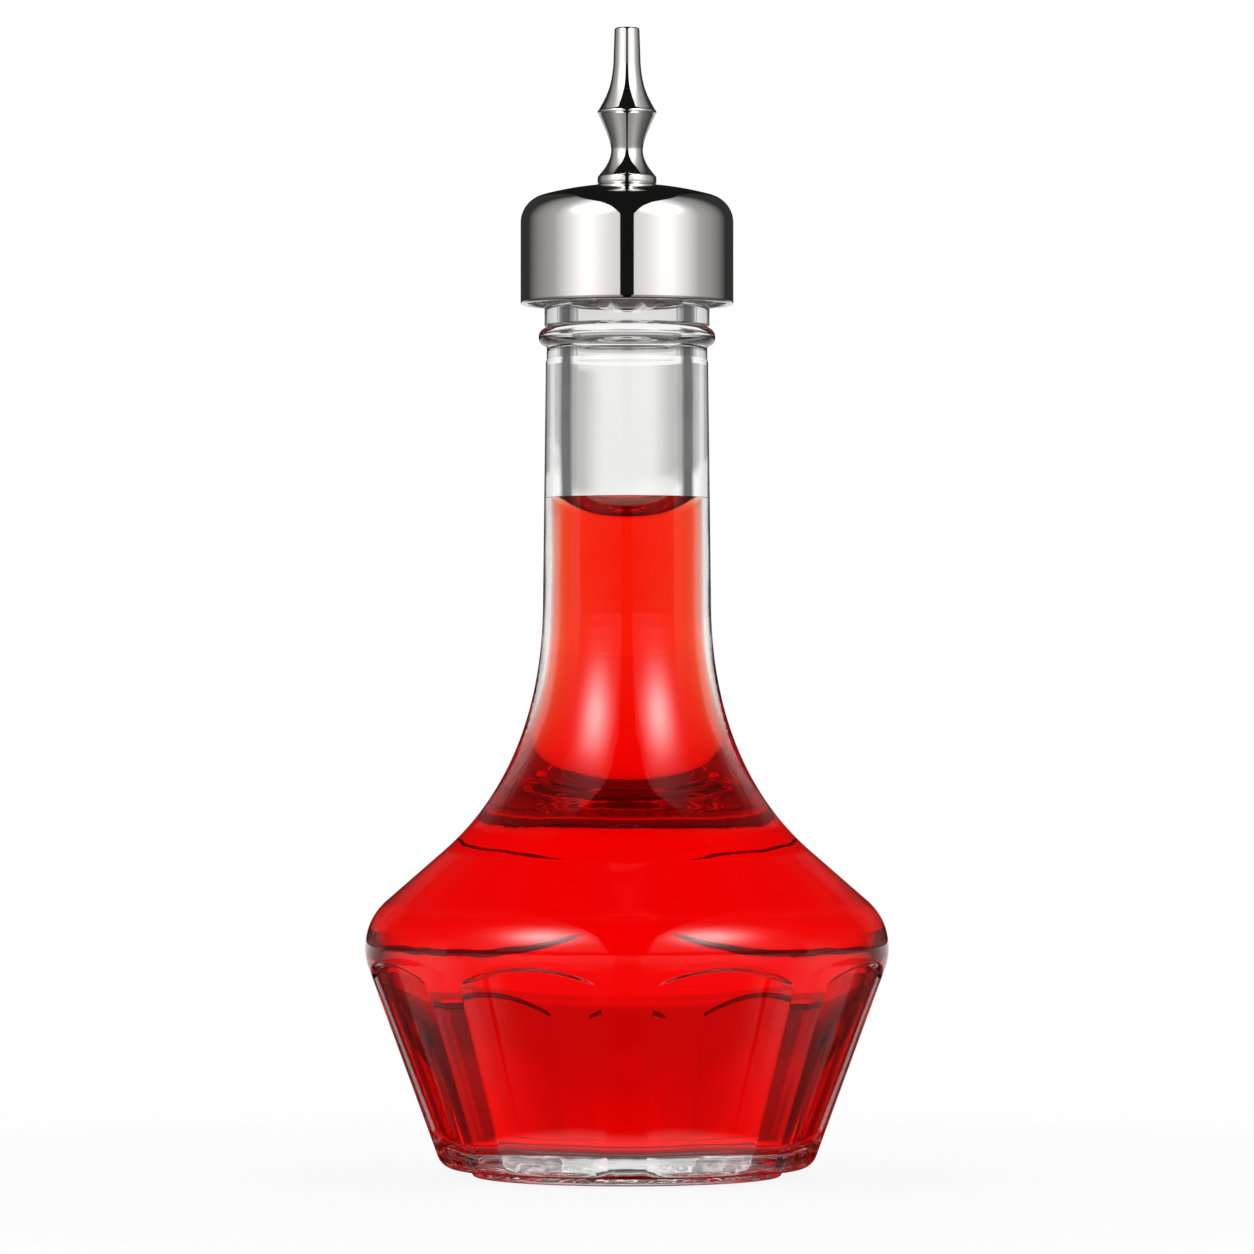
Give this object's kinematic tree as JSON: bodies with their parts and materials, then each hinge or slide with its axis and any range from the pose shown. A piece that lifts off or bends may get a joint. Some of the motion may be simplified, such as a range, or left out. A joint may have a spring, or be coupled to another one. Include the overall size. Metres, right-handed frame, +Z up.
{
  "type": "bitters dasher bottle",
  "caption": "Clear glass bitters bottle with arched flat panels round a tapered body, a long neck and a push-in steel dasher top, filled with red bitters.",
  "frame": {"origin": "on the surface the bottle stands on, in the middle of the foot ring", "axes": "+Z up the bottle's axis to the spout's tip; a rib between two panels faces -Y"},
  "size_m": [0.071, 0.071, 0.1559],
  "materials": {
    "glass": "polished",
    "bitters": "gloss",
    "polished_steel": "polished",
    "liner_plastic": "satin",
    "silicone": "satin"
  },
  "bodies": {
    "bottle": {"glass_bottle": "glass", "bitters": "bitters"},
    "dasher": {"cap_shell": "polished_steel", "cap_liner": "liner_plastic", "spout": "polished_steel", "spout_gasket": "silicone", "stopper": "silicone", "clamp_washer": "polished_steel", "retaining_nut": "polished_steel"}
  },
  "joints": [
    {"name": "cap_lift", "type": "slide", "parent": "bottle", "child": "dasher", "axis": [0, 0, 1], "range_m": [0, 0.03]}
  ]
}
